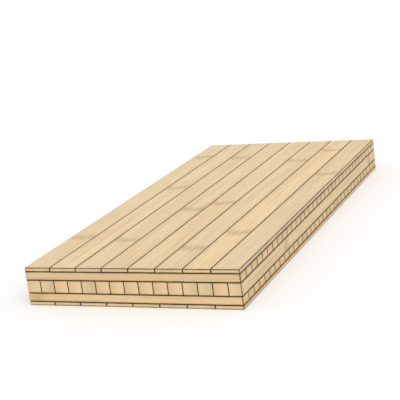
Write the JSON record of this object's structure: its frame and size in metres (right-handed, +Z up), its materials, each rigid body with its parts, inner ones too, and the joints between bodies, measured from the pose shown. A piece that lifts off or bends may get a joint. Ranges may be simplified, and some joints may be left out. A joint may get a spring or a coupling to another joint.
{
  "type": "bamboo panel",
  "caption": "Flat cross-laminated bamboo panel: thin face strips run lengthwise, cross strips lie under them and deep core strips fill the middle. Sheet stock for worktops and furniture.",
  "frame": {"origin": "centre of the underside, on the surface the panel lies on", "axes": "+Z up out of the top face, +Y along the face strips, +X across them"},
  "size_m": [0.22, 0.488, 0.038],
  "materials": {
    "face_bamboo": "planed and sanded, unfinished",
    "cross_bamboo": "planed, sawn at the sides",
    "core_bamboo": "planed, sawn at the ends",
    "glue": "set glue, dark brown"
  },
  "bodies": {
    "root": {"top_face_strip_01": "face_bamboo", "top_face_strip_02": "face_bamboo", "top_face_strip_03": "face_bamboo", "top_face_strip_04": "face_bamboo", "top_face_strip_05": "face_bamboo", "top_face_strip_06": "face_bamboo", "top_face_strip_07": "face_bamboo", "top_face_strip_08": "face_bamboo", "upper_cross_strips": "cross_bamboo", "core_strip_01": "core_bamboo", "core_strip_02": "core_bamboo", "core_strip_03": "core_bamboo", "core_strip_04": "core_bamboo", "core_strip_05": "core_bamboo", "core_strip_06": "core_bamboo", "core_strip_07": "core_bamboo", "core_strip_08": "core_bamboo", "core_strip_09": "core_bamboo", "core_strip_10": "core_bamboo", "core_strip_11": "core_bamboo", "core_strip_12": "core_bamboo", "core_strip_13": "core_bamboo", "core_strip_14": "core_bamboo", "core_strip_15": "core_bamboo", "lower_cross_strips": "cross_bamboo", "bottom_face_strip_01": "face_bamboo", "bottom_face_strip_02": "face_bamboo", "bottom_face_strip_03": "face_bamboo", "bottom_face_strip_04": "face_bamboo", "bottom_face_strip_05": "face_bamboo", "bottom_face_strip_06": "face_bamboo", "bottom_face_strip_07": "face_bamboo", "bottom_face_strip_08": "face_bamboo"}
  },
  "joints": []
}
